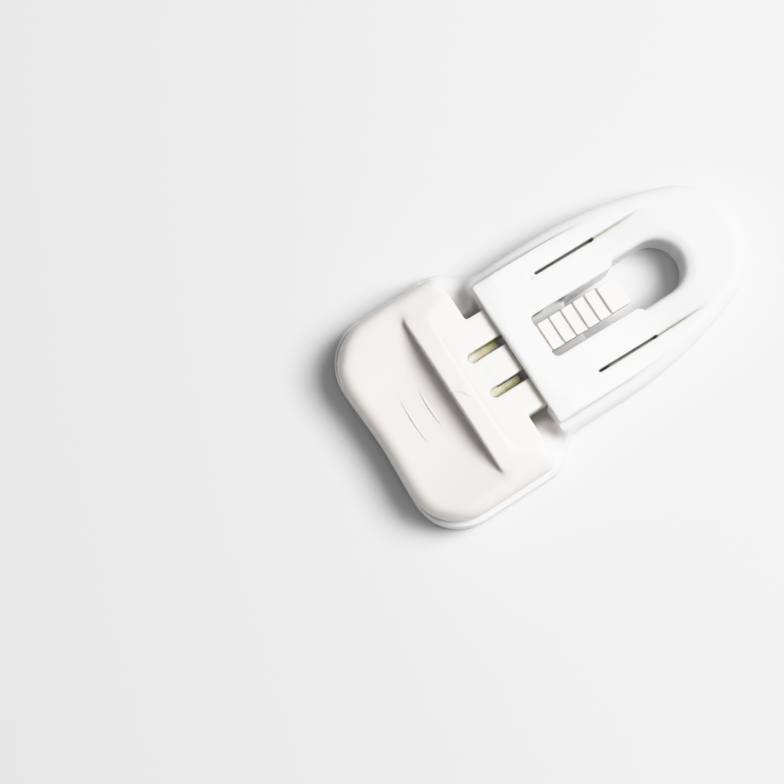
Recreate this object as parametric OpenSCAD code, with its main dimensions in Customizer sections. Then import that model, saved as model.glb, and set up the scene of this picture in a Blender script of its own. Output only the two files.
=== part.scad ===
// Tarp clip: a lower body with a rope eye, and an upper jaw that slides into it and is held by a toothed tongue.
// Lengths are in millimetres. +X points to the eye, +Z is up, and the clip rests on its flat underside.
// The modules work from the bridge's front edge, and each node is then moved to the middle of the clip.

/* [Overall] */
// Length from the front of the jaws to the end of the eye
clip_len = 88.5; // [78:0.5:110]
// Length of the jaws in front of the bridge
jaw_reach = 33; // [28:0.5:40]
// Width across the lower jaw
jaw_w = 49.4; // [46:0.2:62]
// Height of the bridge's front edge over the underside
bridge_top = 16.4; // [15.8:0.1:20]
// Slope of the wedge that the upper jaw slides on, in degrees
wedge_deg = 7; // [5:0.5:8]
// Width of the soft break on the moulded edges
edge_break = 0.8; // [0.4:0.1:1.2]

/* [Jaws] */
// Thickness of the lower jaw
lower_jaw_t = 6.5; // [5.5:0.1:7]
// Space between the two grip faces, for the sheet
jaw_gap = 1; // [1:0.1:1.6]
// Radius of the front corners of both jaws
jaw_front_r = 10.5; // [4:0.5:11]
// Radius of the rear corners of the upper jaw
jaw_rear_r = 2; // [1:0.5:4]
// Depth of the shallow waist in the front edge of both jaws
jaw_waist = 0.5; // [0.1:0.1:1.5]
// Width by which the lower jaw stands out past each side of the upper jaw
jaw_over = 1.2; // [0.5:0.1:2]
// Height of the grip ridges inside both jaws
grip_h = 0.4; // [0.2:0.05:0.4]
// Number of grip ridges in the lower jaw
grip_count = 5; // [3:1:6]
// Distance from the jaw's front edge to the first grip ridge
grip_start = 2.6; // [2:0.1:4]

/* [Upper jaw] */
// Distance from the bridge to the upper jaw's rear shoulders
shoulder_gap = 4.4; // [3.4:0.1:6]
// Height of the upright part of the front lip
lip_h = 1.4; // [0.8:0.1:2]
// Radius of the rounded top of the front lip
lip_r = 3.6; // [2.5:0.1:4]
// Radius of the rounded side edges
side_r = 3.2; // [2:0.1:3.6]
// Distance from the bridge to the thumb ridge's front wall
ridge_ahead = 15.3; // [14:0.1:17]
// Width of the thumb ridge's top
ridge_band = 4.1; // [2.5:0.1:4.5]
// Length of the thumb ridge across the jaw
ridge_len = 39; // [34:0.5:40]
// Height of the thumb ridge over the plateau behind it
ridge_h = 1.3; // [0.8:0.1:1.6]
// Height of the ridge's front wall at its middle
ridge_wall_h = 4; // [2:0.1:4.5]
// Width of the dish floor at the ridge
dish_rear_w = 21.2; // [16:0.2:24]
// Width of the dish floor at the front lip
dish_front_w = 15.2; // [12:0.2:20]
// Drop of the dish floor from the ridge to the front lip
dish_fall = 1.3; // [1:0.1:3]
// Rise of the shoulders over the dish floor at the front lip
shoulder_rise = 1; // [0.5:0.1:2]

/* [Wedge fingers] */
// Width of the space that the tongue lies in, slots included
finger_inner_w = 10.6; // [10.2:0.1:12]
// Width across both wedge fingers
finger_outer_w = 23.4; // [22:0.1:25]
// Length of the fingers behind the bridge's front edge
finger_len = 11; // [8:0.5:12]
// Height of the finger tops under the bridge's front edge
wedge_z = 13.65; // [13:0.05:14]
// Distance from the bridge to the round ends of the slots
slot_ahead = 8.6; // [8:0.1:10]
// Depth of the slots to their floors in front of the bridge
slot_d = 2.2; // [2.2:0.1:3]
// Thickness of the slots' floors
slot_floor_t = 1.6; // [1:0.1:2]

/* [Ratchet tongue] */
// Width of the tongue
tongue_w = 6.4; // [5:0.1:6.8]
// Thickness of the tongue
tongue_t = 2.6; // [2:0.1:3]
// Distance along the slope from the bridge's front edge to the tongue's tip
tongue_len = 27.8; // [26.6:0.2:29]
// Distance from one ratchet tooth to the next
tooth_pitch = 2.95; // [2.6:0.01:3]
// Height of the ratchet teeth
tooth_h = 0.9; // [0.6:0.05:1]
// Number of ratchet teeth
tooth_count = 8; // [7:1:8]
// Distance along the slope from the bridge's front edge to the pawl's stop face
pawl_at = 4.8; // [4.6:0.1:5.2]
// Radius of the tongue's corners
tongue_tip_r = 1.1; // [0.5:0.1:1.5]

/* [Bridge and tunnel] */
// Width of the raised bridge
bridge_w = 33.4; // [32:0.2:36]
// Length over which the bridge slopes down to the loop
bridge_len = 26; // [22:0.5:30]
// Half of the length over which that slope eases into the top of the loop
bridge_ease = 9; // [4:0.5:10]
// Length of the tunnel behind the bridge's front edge
tunnel_len = 15.6; // [15:0.1:17]
// Thickness of the floor under the tunnel
floor_t = 6; // [5:0.1:6]
// Width of the pockets beside the fingers, in front of the bridge
pocket_w = 4.5; // [3:0.1:5]
// Depth of the pockets below the lower jaw's top, beside the fingers
pocket_d = 2.1; // [1:0.1:2.4]
// Rise of the pockets' floors towards the sides
pocket_rise = 3.6; // [2:0.1:4]
// Width of the guide ribs under the bridge
guide_w = 1.2; // [0.9:0.1:1.4]
// Depth of the guide ribs under the bridge
guide_h = 1.8; // [1.2:0.1:1.8]

/* [Loop and eye] */
// Thickness of the loop
loop_t = 11.5; // [10.5:0.1:12]
// Width of the loop at its widest
loop_w = 38.4; // [37:0.2:42]
// Distance from the bridge's front edge to where the loop starts to narrow
loop_straight = 16; // [14:0.5:20]
// Distance from the bridge's front edge back to where the flare of the lower jaw starts
flare_at = 3.4; // [2:0.1:5]
// Radius of the loop's curved sides
loop_side_r = 85; // [66:1:100]
// Radius of the loop's rounded top edge
loop_edge_r = 2.6; // [1.5:0.1:3]
// Distance from the bridge's front edge to the front of the opening
opening_at = 6.8; // [6.6:0.1:8]
// Width of the opening beside the tongue
opening_w = 10; // [9.4:0.1:11]
// Width of the eye at its round end
eye_w = 12; // [11.6:0.1:14]
// Length of the eye behind the step between the two widths
eye_len = 13.8; // [12:0.1:14]
// Width of the ring behind the eye
eye_ring_w = 14.5; // [12:0.5:16]
// Radius of the rope's bearing edge
eye_edge_r = 2; // [1:0.1:2.5]
// Width of the grooves beside the sloping band
groove_w = 0.6; // [0.5:0.1:1.2]
// Depth of the grooves beside the sloping band
groove_d = 1; // [0.5:0.1:1.2]
// Width between the two grooves
groove_gap = 24.2; // [23:0.1:26]
// Distance from the bridge's front edge to the start of the grooves
groove_at = 13; // [12:0.5:15]
// Depth of the sloping band below the rails where it is deepest
band_d = 0.8; // [0.3:0.1:1]
// Distance from the end of the eye to where the band reaches the loop's top
band_lead = 2; // [1:0.5:4]
// Depth of the finger dish under the lower jaw
finger_dish_d = 1.2; // [0.6:0.1:2]
// Width of the finger dish under the lower jaw
finger_dish_w = 26; // [20:0.5:30]

/* [Fits] */
// Space between the wedge fingers and the bridge
wedge_clear = 0.15; // [0.1:0.01:0.2]
// Space between the wedge fingers and each side of the tunnel
tunnel_clear = 0.5; // [0.3:0.05:0.6]
// Space between the pawl and the tooth that it holds
pawl_clear = 0.12; // [0.08:0.01:0.15]
// Space round the tongue's root
root_clear = 0.25; // [0.2:0.01:0.3]

/* [Hidden] */

body_colour = [0.93, 0.94, 0.95];
jaw_colour = [0.95, 0.93, 0.88];
tongue_colour = [0.94, 0.92, 0.87];

// Reach of every cut past the face that it opens
overrun = edge_break;
// Straight steps in a quarter of a drawn arc
arc_steps = 10;
// Straight steps in the length of the thumb dish
dish_steps = 5;

loop_len = clip_len - jaw_reach;
bridge_x = jaw_reach - clip_len / 2;
lower_half_w = jaw_w / 2;
half_w = lower_half_w - jaw_over;
grip_z = lower_jaw_t + jaw_gap;
grip_pitch = tooth_pitch;
bridge_fall = (bridge_top - loop_t) / bridge_len;
ridge_top = wedge_top(-(ridge_ahead - ridge_band)) + ridge_h;
dish_rear_z = ridge_top - ridge_wall_h;
dish_front_z = dish_rear_z - dish_fall;
side_top = wedge_top(-shoulder_gap);
shoulder_fall = side_top - dish_front_z - shoulder_rise;
tunnel_w = finger_outer_w + 2 * tunnel_clear;
slot_w = (finger_inner_w - tongue_w) / 2;
root_s = -slot_ahead / cos(wedge_deg);
eye_end_at = loop_len - eye_ring_w;
eye_step_at = eye_end_at - eye_len;
eye_r = eye_w / 2;
eye_x = eye_end_at - eye_r;
band_low_at = eye_step_at;
band_end_at = eye_end_at + band_lead;
bearing_lap = edge_break / 16;

// Middle and radius of the loop's round end, which is tangent to its curved sides
side_sink = loop_side_r - loop_w / 2;
side_over = loop_side_r - loop_len;
end_x = (pow(loop_straight, 2) + pow(side_sink, 2) - pow(side_over, 2)) / (2 * (side_over + loop_straight));
end_r = loop_len - end_x;
end_deg = atan2(side_sink, end_x - loop_straight);

// Height of the wedge plane over the underside at a distance behind the bridge's front edge
function wedge_top(u) = wedge_z - tan(wedge_deg) * u;

// Height of the bridge's sloping top at a distance behind its front edge
function rail_top(u) =
    let (left = bridge_len + bridge_ease - u)
    left < 0 ? loop_t
    : left < 2 * bridge_ease ? loop_t + bridge_fall * left * left / (4 * bridge_ease)
    : bridge_top - bridge_fall * u;

// Share that eases from 0 to 1
function eased(t) = t * t * (3 - 2 * t);

// Height of the sloping band between the rails at a distance behind the bridge's front edge
function band_top(u) =
    let (rear = u > band_low_at, from = rear ? band_end_at : groove_at)
    rail_top(u) - band_d * eased((u - from) / (band_low_at - from));

// Points of an arc from one angle to another
function arc(c, r, from, to) =
    [for (i = [0:arc_steps]) let (a = from + (to - from) * i / arc_steps) c + r * [cos(a), sin(a)]];

// Points mirrored to the other side of the middle line, in the opposite order
function mirrored(points) = [for (i = [len(points) - 1:-1:0]) [points[i].x, -points[i].y]];

// Outline of the front of a jaw of a given half width, with its waist, from the +Y side to the -Y side
function jaw_front(half) =
    let (flat = half - jaw_front_r, x = -jaw_reach + jaw_front_r)
    concat(
        arc([x, flat], jaw_front_r, 90, 180),
        [for (i = [1:2 * arc_steps - 1]) let (t = 1 - i / arc_steps)
            [-jaw_reach + jaw_waist * (1 + cos(180 * t)) / 2, flat * t]],
        arc([x, -flat], jaw_front_r, 180, 270)
    );

// Half of the loop's outline, inset by d, from the bridge's front edge to the end of the eye
function loop_half(d) =
    concat(
        [[0, loop_w / 2 - d]],
        [for (i = [0:arc_steps]) let (a = 90 - (90 - end_deg) * i / arc_steps)
            [loop_straight, -side_sink] + (loop_side_r - d) * [cos(a), sin(a)]],
        [for (i = [1:arc_steps]) let (a = end_deg * (1 - i / arc_steps))
            [end_x, 0] + (end_r - d) * [cos(a), sin(a)]]
    );

// Whole outline of the loop, inset by d
function loop_ring(d) =
    let (half = loop_half(d), other = mirrored(half))
    concat(half, [for (i = [1:len(other) - 1]) other[i]]);

// Flare from the loop's width out to the lower jaw, inset by d, on the +Y side
function flare(d) =
    let (length = flare_at + shoulder_gap + edge_break)
    [for (i = [0:arc_steps]) let (t = i / arc_steps)
        [flare_at - length * t, loop_w / 2 - d + (lower_half_w - loop_w / 2) * eased(t)]];

// Skin over an outline that is drawn again at each height, with flat ends
module skin(rings, heights) {
    n = len(rings[0]);
    top = (len(rings) - 1) * n;
    polyhedron(
        points = [for (k = [0:len(rings) - 1]) for (p = rings[k]) [p.x, p.y, heights[k]]],
        faces = concat(
            [[for (i = [n - 1:-1:0]) i]],
            [[for (i = [0:n - 1]) top + i]],
            [for (k = [0:len(rings) - 2]) for (i = [0:n - 1]) let (a = k * n + i, b = k * n + (i + 1) % n)
                each [[a, b, b + n], [a, b + n, a + n]]]
        )
    );
}

// Extrudes a side profile, drawn as x and z, to a width about the middle line
module side_extrude(width) {
    translate([0, width / 2, 0])
        rotate([90, 0, 0])
            linear_extrude(height = width)
                children();
}

// Extrudes a front profile, drawn as y and z, from one x to another
module front_extrude(from, to) {
    translate([from, 0, 0])
        rotate([90, 0, 90])
            linear_extrude(height = to - from)
                children();
}

// Puts its children in the frame of the wedge: x along the slope, z square to it
module wedge_frame() {
    translate([0, 0, wedge_z])
        rotate([0, wedge_deg, 0])
            children();
}

// Plan of the upper jaw's block
module jaw_plan() {
    x = -shoulder_gap - jaw_rear_r;
    y = half_w - jaw_rear_r;
    polygon(concat(
        arc([x, y], jaw_rear_r, 0, 90),
        jaw_front(half_w),
        arc([x, -y], jaw_rear_r, 270, 360)
    ));
}

// Prisms of the grip ridges, from a first x, with their tips up
module grip_ridges(first, count, width) {
    for (i = [0:count - 1])
        translate([first + i * grip_pitch, 0, 0])
            side_extrude(width)
                polygon([[-grip_pitch / 4, 0], [grip_pitch / 4, 0], [0, grip_h]]);
}

// Lower jaw, which flares out from the loop's width
module foot() {
    linear_extrude(height = lower_jaw_t)
        polygon(concat(flare(0), jaw_front(lower_half_w), mirrored(flare(0))));
}

// Loop with its rounded outer edge
module loop_block() {
    turns = [for (i = [0:arc_steps / 2]) 180 * i / arc_steps];
    skin(
        concat([loop_ring(0)], [for (a = turns) loop_ring(loop_edge_r * (1 - cos(a)))]),
        concat([0], [for (a = turns) loop_t - loop_edge_r * (1 - sin(a))])
    );
}

// Raised bridge, highest at its front edge
module bridge_block() {
    rear = bridge_len + bridge_ease;
    intersection() {
        linear_extrude(height = bridge_top)
            polygon(loop_ring((loop_w - bridge_w) / 2));
        side_extrude(bridge_w)
            polygon(concat(
                [[0, rail_top(edge_break) - edge_break / 2], [0, floor_t], [rear, floor_t]],
                [for (i = [0:arc_steps]) let (u = rear - 2 * bridge_ease * i / arc_steps) [u, rail_top(u)]],
                [[edge_break, rail_top(edge_break)]]
            ));
        front_extrude(-overrun, rear + overrun)
            polygon(concat(
                [[-bridge_w / 2, floor_t], [bridge_w / 2, floor_t]],
                arc([bridge_w / 2 - edge_break, bridge_top - 2 * edge_break], edge_break, 0, 80),
                [[0, bridge_top]],
                arc([-bridge_w / 2 + edge_break, bridge_top - 2 * edge_break], edge_break, 100, 180)
            ));
    }
}

// Concave ramp from the lower jaw up to the loop, on both sides of the tunnel
module front_ramp() {
    ramp_r = loop_t - loop_edge_r - lower_jaw_t;
    side = flare(edge_break / 4);
    intersection() {
        translate([0, 0, lower_jaw_t])
            linear_extrude(height = ramp_r)
                polygon(concat(side, mirrored(side)));
        side_extrude(jaw_w)
            polygon(concat(
                [[flare_at, lower_jaw_t + ramp_r], [flare_at, lower_jaw_t]],
                arc([-ramp_r, lower_jaw_t + ramp_r], ramp_r, 270, 360)
            ));
    }
}

// Space for the wedge fingers and the tongue
module tunnel() {
    side_extrude(tunnel_w)
        polygon([
            [-shoulder_gap, floor_t],
            [tunnel_len, floor_t],
            [tunnel_len, wedge_top(tunnel_len) + wedge_clear],
            [-shoulder_gap, wedge_top(-shoulder_gap) + wedge_clear]
        ]);
}

// Plan of the opening from a distance behind the bridge's front edge to its round end
module opening_plan(from) {
    step = (eye_w - opening_w) / 2;
    half = concat(
        arc([from + step, opening_w / 2 - step], step, 180, 90),
        [[eye_step_at, opening_w / 2], [eye_step_at + step, eye_r], [eye_x, eye_r]]
    );
    polygon(concat(half, mirrored(half)));
    translate([eye_x, 0])
        circle(r = eye_r);
}

// Opening over the tongue, and the eye through the whole loop
module opening() {
    translate([0, 0, floor_t])
        linear_extrude(height = bridge_top)
            opening_plan(opening_at);
    translate([0, 0, -overrun])
        linear_extrude(height = bridge_top)
            opening_plan(tunnel_len);
}

// Section of the round edges that the rope bears on, measured out from the middle of the eye
module bearing_section() {
    top = loop_t - band_d / 4;
    reach = eye_edge_r + overrun;
    difference() {
        translate([eye_r - overrun, top - eye_edge_r])
            square(reach);
        translate([eye_r + eye_edge_r - bearing_lap, top - eye_edge_r])
            circle(r = eye_edge_r);
    }
    difference() {
        translate([eye_r - overrun, -overrun])
            square(reach);
        translate([eye_r + eye_edge_r - bearing_lap, eye_edge_r])
            circle(r = eye_edge_r);
    }
}

// Round edges at the top and the underside of the eye
module bearing_edges() {
    translate([eye_x, 0, 0])
        rotate([0, 0, -90])
            rotate_extrude(angle = 180)
                bearing_section();
    for (side = [0, 1])
        mirror([0, side, 0])
            front_extrude(eye_step_at + (eye_w - opening_w) / 2, eye_x)
                bearing_section();
}

// Sloping band between the rails, deepest beside the eye
module band() {
    length = band_end_at - groove_at;
    steps = 3 * arc_steps;
    side_extrude(groove_gap)
        polygon(concat(
            [for (i = [0:steps]) let (u = groove_at + length * i / steps) [u, band_top(u)]],
            [[band_end_at, bridge_top], [groove_at, bridge_top]]
        ));
}

// Narrow grooves that part the sloping band from the rails
module grooves() {
    length = band_low_at - groove_at;
    for (side = [-1, 1])
        translate([groove_at, side * groove_gap / 2, rail_top(groove_at)])
            rotate([0, atan(bridge_fall), 0])
                translate([0, 0, -groove_d])
                    linear_extrude(height = groove_d + overrun)
                        polygon(concat(
                            arc([0, 0], groove_w / 2, 90, 270),
                            arc([length, 0], groove_w / 2, 270, 450)
                        ));
}

// Shallow dish for the fingers under the lower jaw
module finger_dish() {
    half = finger_dish_w / 2;
    r = (pow(half, 2) + pow(finger_dish_d, 2)) / (2 * finger_dish_d);
    translate([-jaw_reach - overrun, 0, finger_dish_d - r])
        rotate([0, 90, 0])
            cylinder(h = jaw_reach - ridge_ahead + ridge_band + overrun, r = r, $fn = 128);
}

// Fixed tooth under the bridge that holds the tongue
module pawl() {
    slope = tooth_h / tooth_pitch;
    back = pawl_at - tooth_pitch + pawl_clear / slope;
    tip = pawl_at - pawl_clear;
    wedge_frame()
        side_extrude(tongue_w - 2 * root_clear)
            polygon([
                [back, overrun],
                [back, -slope * (back - pawl_at + tooth_pitch) + pawl_clear],
                [tip, -slope * (tip - pawl_at + tooth_pitch) + pawl_clear],
                [tip, overrun]
            ]);
}

// Ribs under the bridge that run in the slots beside the tongue
module guide_ribs() {
    at = (finger_inner_w - slot_w) / 2;
    wedge_frame()
        for (side = [-1, 1])
            translate([edge_break / 2, side * at - guide_w / 2, -guide_h])
                cube([opening_at - edge_break, guide_w, guide_h + overrun]);
}

// Spaces beside the fingers in front of the bridge
module pockets() {
    inner = (finger_outer_w - edge_break) / 2;
    outer = inner + pocket_w;
    low = lower_jaw_t - pocket_d;
    front_extrude(-shoulder_gap, edge_break / 4)
        for (side = [0, 1])
            mirror([side, 0])
                polygon([[inner, low], [outer, low + pocket_rise], [outer, loop_t], [inner, loop_t]]);
}

// Lower moulding: lower jaw, bridge, loop and eye
module lower_body() {
    color(body_colour)
        translate([bridge_x, 0, 0]) {
            difference() {
                union() {
                    foot();
                    loop_block();
                    bridge_block();
                    front_ramp();
                }
                tunnel();
                opening();
                bearing_edges();
                band();
                grooves();
                finger_dish();
                pockets();
            }
            translate([0, 0, lower_jaw_t])
                grip_ridges(-jaw_reach + grip_start, grip_count, 2 * half_w - 4 * jaw_rear_r);
            pawl();
            guide_ribs();
        }
}

// Upper jaw's block before the dish is cut, with the thumb ridge across it
module jaw_block() {
    rear = -shoulder_gap;
    ridge_rear = -(ridge_ahead - ridge_band);
    intersection() {
        linear_extrude(height = bridge_top)
            jaw_plan();
        side_extrude(jaw_w + overrun)
            polygon(concat(
                [[rear, grip_z], [rear, wedge_top(rear)],
                    [ridge_rear + ridge_h / 2, wedge_top(ridge_rear + ridge_h / 2)],
                    [ridge_rear, ridge_top], [-ridge_ahead, ridge_top]],
                [[-ridge_ahead - overrun, ridge_top]],
                arc([-jaw_reach + lip_r, grip_z + lip_h], lip_r, 90, 180),
                [[-jaw_reach, grip_z + edge_break / 2], [-jaw_reach + edge_break / 2, grip_z]]
            ));
        front_extrude(-jaw_reach, rear)
            polygon(concat(
                [[-half_w + edge_break / 2, grip_z], [half_w - edge_break / 2, grip_z],
                    [half_w, grip_z + edge_break / 2]],
                arc([half_w - side_r, side_top - side_r], side_r, 0, 90),
                [for (i = [-arc_steps:arc_steps]) let (t = -i / arc_steps)
                    [t * ridge_len / 2, ridge_top - (ridge_top - side_top) * pow(abs(t), 3)]],
                arc([-half_w + side_r, side_top - side_r], side_r, 90, 180),
                [[-half_w, grip_z + edge_break / 2]]
            ));
    }
}

// Slice of the thumb dish at a share of the way from the ridge to the front lip
module dish_slice(t) {
    x = -ridge_ahead - (jaw_reach + overrun - ridge_ahead) * t;
    rise = ridge_top + overrun;
    side = half_w + overrun;
    floor_z = dish_rear_z - dish_fall * (1 - pow(1 - t, 4));
    shoulder_z = side_top - shoulder_fall * pow(t, 3 / 2);
    floor_half = (dish_rear_w + (dish_front_w - dish_rear_w) * t) / 2;
    front_extrude(x - edge_break / 4, x)
        polygon([
            [-side, rise], [-side, shoulder_z],
            [-floor_half, floor_z], [floor_half, floor_z],
            [side, shoulder_z], [side, rise]
        ]);
}

// Space of the thumb dish, scooped between two shoulders that fall towards the front lip
module thumb_dish() {
    for (i = [1:dish_steps])
        hull() {
            dish_slice((i - 1) / dish_steps);
            dish_slice(i / dish_steps);
        }
}

// Space round the tongue: the two slots with their round ends, and the seat of its root
module tongue_space() {
    at = (finger_inner_w - slot_w) / 2;
    rear = finger_len + overrun;
    height = bridge_top;
    root_r = tongue_t / 2 + root_clear;
    for (side = [-1, 1])
        translate([-slot_ahead + slot_w / 2, side * at, 0]) {
            cylinder(h = height, r = slot_w / 2, $fn = 48);
            translate([0, -slot_w / 2, 0])
                cube([rear + slot_ahead, slot_w, height]);
        }
    wedge_frame()
        translate([root_s, 0, -tongue_t / 2]) {
            rotate([90, 0, 0])
                cylinder(h = tongue_w + slot_w, r = root_r, center = true, $fn = 64);
            translate([0, -tongue_w / 2 - slot_w / 2, -bridge_top])
                cube([rear + slot_ahead, tongue_w + slot_w, 2 * bridge_top]);
            translate([-root_r, -tongue_w / 2 - slot_w / 2, 0])
                cube([2 * root_r, tongue_w + slot_w, bridge_top]);
        }
}

// Floors of the two slots, on the inner sides of the fingers and clear of the tongue
module slot_floors() {
    inner = tongue_w / 2 + root_clear;
    outer = (finger_inner_w + edge_break) / 2;
    wedge_frame()
        for (side = [0, 1])
            mirror([0, side, 0])
                translate([root_s - edge_break, inner, -slot_d - slot_floor_t])
                    cube([-root_s, outer - inner, slot_floor_t]);
}

// Two wedge fingers that run under the bridge
module fingers() {
    front = -shoulder_gap - jaw_rear_r;
    low = grip_z - edge_break / 4;
    tip = finger_len;
    width = (finger_outer_w - finger_inner_w) / 2;
    for (side = [-1, 1])
        translate([0, side * (finger_inner_w + width) / 2, 0])
            side_extrude(width)
                polygon([
                    [front, low], [tip - edge_break, low],
                    [tip, low + edge_break], [tip, wedge_top(tip) - edge_break],
                    [tip - edge_break, wedge_top(tip - edge_break)], [front, wedge_top(front)]
                ]);
}

// Upper moulding without its tongue: thumb dish, ridge, wedge fingers and grip ridges
module upper_jaw() {
    color(jaw_colour)
        translate([bridge_x, 0, 0]) {
            difference() {
                union() {
                    jaw_block();
                    fingers();
                }
                thumb_dish();
                tongue_space();
            }
            slot_floors();
            translate([0, 0, grip_z])
                mirror([0, 0, 1])
                    grip_ridges(-jaw_reach + grip_start + grip_pitch / 2, grip_count - 1, 2 * half_w - 4 * jaw_rear_r);
        }
}

// Side profile of the tongue in the frame of the wedge, teeth on top
function tongue_profile() =
    let (last = pawl_at + (tooth_count - 2) * tooth_pitch)
    concat(
        [[root_s, -tongue_t], [tongue_len - edge_break, -tongue_t], [tongue_len, -tongue_t + edge_break],
            [tongue_len, -tooth_h], [tongue_len - edge_break, -tooth_h / 4]],
        [for (k = [0:tooth_count - 1]) let (x = last - k * tooth_pitch)
            each [[x, 0], [x, -tooth_h]]],
        [[pawl_at - 2 * tooth_pitch + edge_break / 4, 0], [root_s, 0]]
    );

// Toothed middle finger of the upper moulding, which bends at its root
module ratchet_tongue() {
    half = tongue_w / 2;
    color(tongue_colour)
        translate([bridge_x, 0, 0])
            wedge_frame() {
                intersection() {
                    side_extrude(tongue_w)
                        polygon(tongue_profile());
                    translate([0, 0, -tongue_t])
                        linear_extrude(height = tongue_t + overrun)
                            polygon(concat(
                                [[root_s, -half]],
                                arc([tongue_len - tongue_tip_r, -half + tongue_tip_r], tongue_tip_r, 270, 360),
                                arc([tongue_len - tongue_tip_r, half - tongue_tip_r], tongue_tip_r, 0, 90),
                                [[root_s, half]]
                            ));
                }
                translate([root_s, 0, -tongue_t / 2])
                    rotate([90, 0, 0])
                        cylinder(h = tongue_w, r = tongue_t / 2, center = true, $fn = 64);
            }
}

lower_body();
upper_jaw();
ratchet_tongue();
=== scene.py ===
"""Looks of the tarp clip: softened mouldings, moulded ribs, satin plastics and a plain studio."""
from __future__ import annotations

import logging
import math
from dataclasses import dataclass, field
from enum import Enum, IntEnum

import bpy
import numpy as np
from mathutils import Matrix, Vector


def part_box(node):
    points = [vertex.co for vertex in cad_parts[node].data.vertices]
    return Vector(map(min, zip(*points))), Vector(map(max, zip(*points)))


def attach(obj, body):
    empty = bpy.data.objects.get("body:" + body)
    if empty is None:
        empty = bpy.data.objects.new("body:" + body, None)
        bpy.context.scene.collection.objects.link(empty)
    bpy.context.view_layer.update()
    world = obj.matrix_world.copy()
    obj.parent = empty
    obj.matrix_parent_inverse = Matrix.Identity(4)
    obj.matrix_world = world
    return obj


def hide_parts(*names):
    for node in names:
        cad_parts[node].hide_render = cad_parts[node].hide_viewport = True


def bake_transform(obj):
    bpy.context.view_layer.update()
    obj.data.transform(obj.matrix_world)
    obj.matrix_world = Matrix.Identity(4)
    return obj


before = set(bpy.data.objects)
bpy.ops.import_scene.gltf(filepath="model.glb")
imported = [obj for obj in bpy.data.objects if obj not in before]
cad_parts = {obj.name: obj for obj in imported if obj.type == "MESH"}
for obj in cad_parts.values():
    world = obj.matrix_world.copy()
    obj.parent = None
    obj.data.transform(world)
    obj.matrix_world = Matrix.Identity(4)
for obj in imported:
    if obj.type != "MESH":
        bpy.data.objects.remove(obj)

import openvdb
from mathutils import Matrix, Vector

MM = 0.001
LOG = logging.getLogger("tarp_clip")

Colour = tuple[float, float, float, float]
Span = tuple[float, float]


class Body(Enum):
    """Moving bodies of the clip, which are also the names of their solids."""

    LOWER = "lower_body"
    JAW = "upper_jaw"
    TONGUE = "ratchet_tongue"


class Slot(Enum):
    """Material slots of the record."""

    BODY = "body_plastic"
    JAW = "jaw_plastic"


class Way(Enum):
    """Sides of a node group that a socket can be on."""

    GIVEN = "INPUT"
    RESULT = "OUTPUT"


class MixSocket(IntEnum):
    """Places of the colour sockets on a mix node."""

    FIRST = 6
    SECOND = 7
    RESULT = 2


def fade(start: float, end: float, value: np.ndarray) -> np.ndarray:
    """Eases from 0 to 1 between two limits.

    Args:
        start: Value at which the result is 0.
        end: Value at which the result is 1.
        value: Values to ease.

    Returns:
        The eased shares, from 0 to 1.
    """
    share = np.clip((value - start) / (end - start), 0.0, 1.0)
    return share * share * (3.0 - 2.0 * share)


def swell(distance: np.ndarray, width: float) -> np.ndarray:
    """Gives a bell that is 1 at no distance and fades out over a width."""
    return np.exp(-np.square(distance / width))


@dataclass(frozen=True)
class ClipSizes:
    """Sizes that the mouldings share, in millimetres. U runs back from the bridge's front edge."""

    finger_len: float = 11.0
    wedge_z: float = 13.65
    wedge_deg: float = 7.0
    lower_jaw_t: float = 6.5
    jaw_gap: float = 1.0
    jaw_reach: float = 33.0
    shoulder_gap: float = 4.4
    ridge_ahead: float = 15.3
    slot_ahead: float = 8.6
    slot_w: float = 2.1
    slot_y: float = 4.25
    tongue_t: float = 2.6
    grip_count: int = 5
    grip_pitch: float = 2.95
    grip_start: float = 2.6
    grip_len: float = 39.0
    grip_h: float = 0.4
    loop_t: float = 11.5
    bridge_top: float = 16.4
    bridge_len: float = 26.0

    @property
    def grip_z(self) -> float:
        """Height of the upper jaw's grip face."""
        return self.lower_jaw_t + self.jaw_gap

    @property
    def bridge_x(self) -> float:
        """Place of the bridge's front edge in the part's frame."""
        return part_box(Body.JAW.value)[1].x / MM - self.finger_len

    def over_wedge(self, u: np.ndarray, z: np.ndarray) -> np.ndarray:
        """Distance above the sloping plane of the wedge fingers and the tongue.

        Args:
            u: Distances behind the bridge's front edge.
            z: Heights over the underside.

        Returns:
            Distances square to the plane, positive above it.
        """
        slope = math.radians(self.wedge_deg)
        return (z - self.wedge_z) * math.cos(slope) + u * math.sin(slope)


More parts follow.
